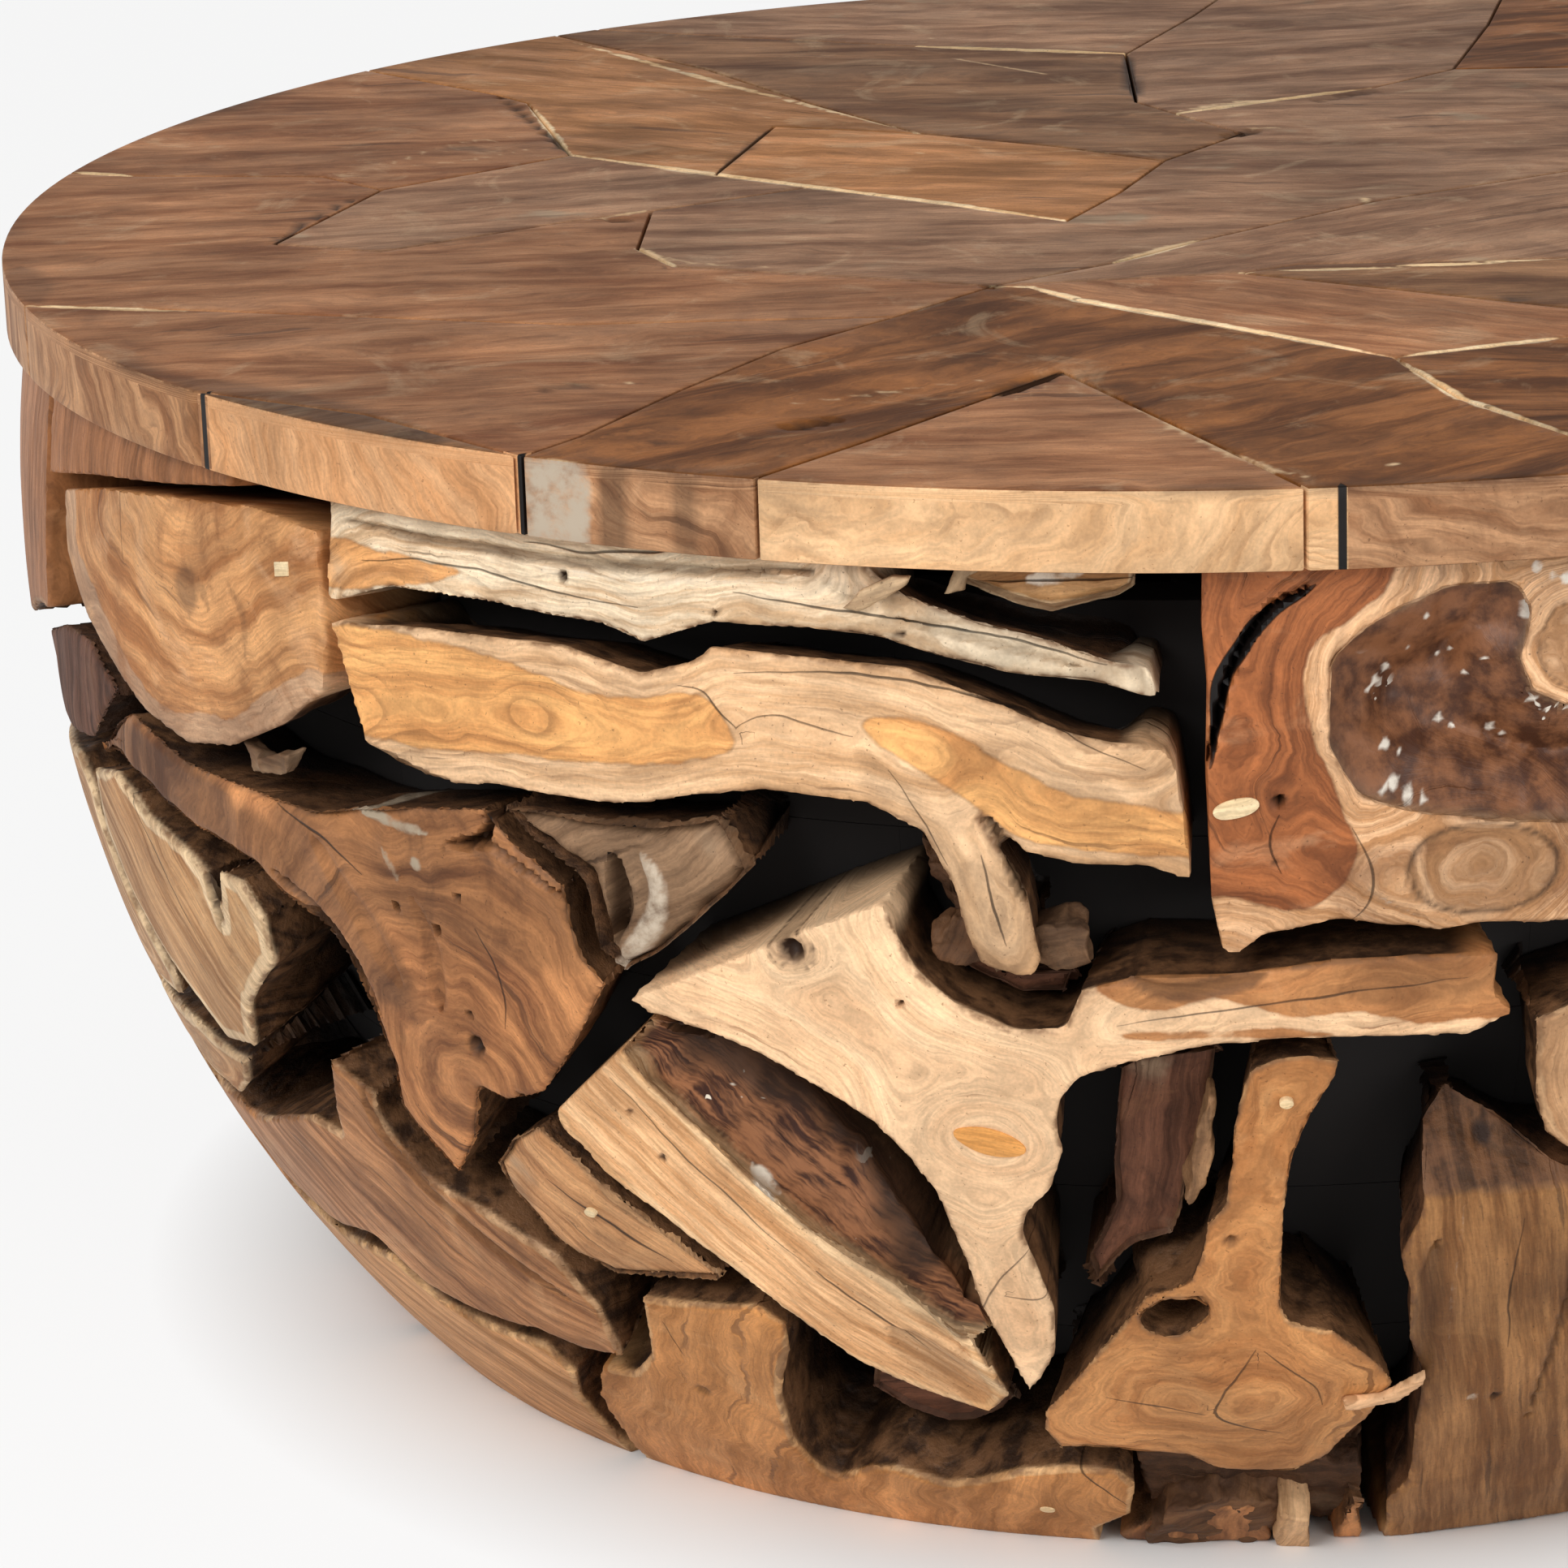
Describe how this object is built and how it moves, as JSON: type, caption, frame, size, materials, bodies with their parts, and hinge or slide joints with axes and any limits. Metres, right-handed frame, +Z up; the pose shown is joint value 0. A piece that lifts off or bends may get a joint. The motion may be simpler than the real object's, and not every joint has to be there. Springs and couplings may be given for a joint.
{
  "type": "coffee table",
  "caption": "Round low table: a flat disc of fitted teak slabs on a hollow half-ball bowl of interlocking teak root pieces.",
  "frame": {"origin": "on the floor, under the middle of the round top", "axes": "+Z up, +X to the right and +Y away from the side that the picture shows"},
  "size_m": [1, 1, 0.45],
  "materials": {
    "teak_slab": "sawn and sanded teak, oiled, satin",
    "cut_teak_root": "teak root cut to the ball and sanded, satin",
    "weathered_teak_root": "weathered grey-cream teak root, matt",
    "dark_teak_root": "brown bark-side teak root, matt",
    "stained_frame": "sawn battens stained black, matt"
  },
  "bodies": {
    "root": {"slab_triangle": "teak_slab", "slab_front": "teak_slab", "slab_edge_strip": "teak_slab", "slab_front_left": "teak_slab", "slab_left": "teak_slab", "slab_leaf": "teak_slab", "slab_back_left": "teak_slab", "slab_orange": "teak_slab", "slab_small_plank": "teak_slab", "slab_dark_back": "teak_slab", "slab_back_rim": "teak_slab", "slab_back": "teak_slab", "slab_back_right": "teak_slab", "slab_right_back": "teak_slab", "slab_grey_middle": "teak_slab", "slab_long_wedge": "teak_slab", "slab_right": "teak_slab", "slab_slim": "teak_slab", "slab_pale_blade": "teak_slab", "slab_right_middle": "teak_slab", "slab_front_right": "teak_slab", "slab_right_front": "teak_slab", "rim_block": "cut_teak_root", "shield_root": "cut_teak_root", "leaf_root": "cut_teak_root", "sliver_root": "cut_teak_root", "small_leaf_root": "cut_teak_root", "left_heel_root": "cut_teak_root", "forked_trunk": "cut_teak_root", "burl_section": "cut_teak_root", "y_root": "cut_teak_root", "trough_log": "cut_teak_root", "notched_plank": "cut_teak_root", "lowest_plank": "cut_teak_root", "hooked_root": "cut_teak_root", "t_root": "cut_teak_root", "foot_wedges": "cut_teak_root", "stump": "cut_teak_root", "right_root": "cut_teak_root", "right_rim_roots": "cut_teak_root", "right_middle_roots": "cut_teak_root", "right_foot_roots": "cut_teak_root", "back_rim_roots": "cut_teak_root", "back_middle_roots": "cut_teak_root", "back_foot_roots": "cut_teak_root", "left_flank_root": "weathered_teak_root", "long_branch": "weathered_teak_root", "crescent_log": "weathered_teak_root", "short_root": "weathered_teak_root", "dark_corner_root": "dark_teak_root", "brown_root": "dark_teak_root", "small_plate": "dark_teak_root", "root_behind_t": "dark_teak_root", "chunks_behind": "dark_teak_root", "right_upper_roots": "dark_teak_root", "back_upper_roots": "dark_teak_root", "black_backing": "stained_frame", "inner_hoops": "stained_frame", "inner_ribs": "stained_frame", "top_bearers": "stained_frame"}
  },
  "joints": []
}
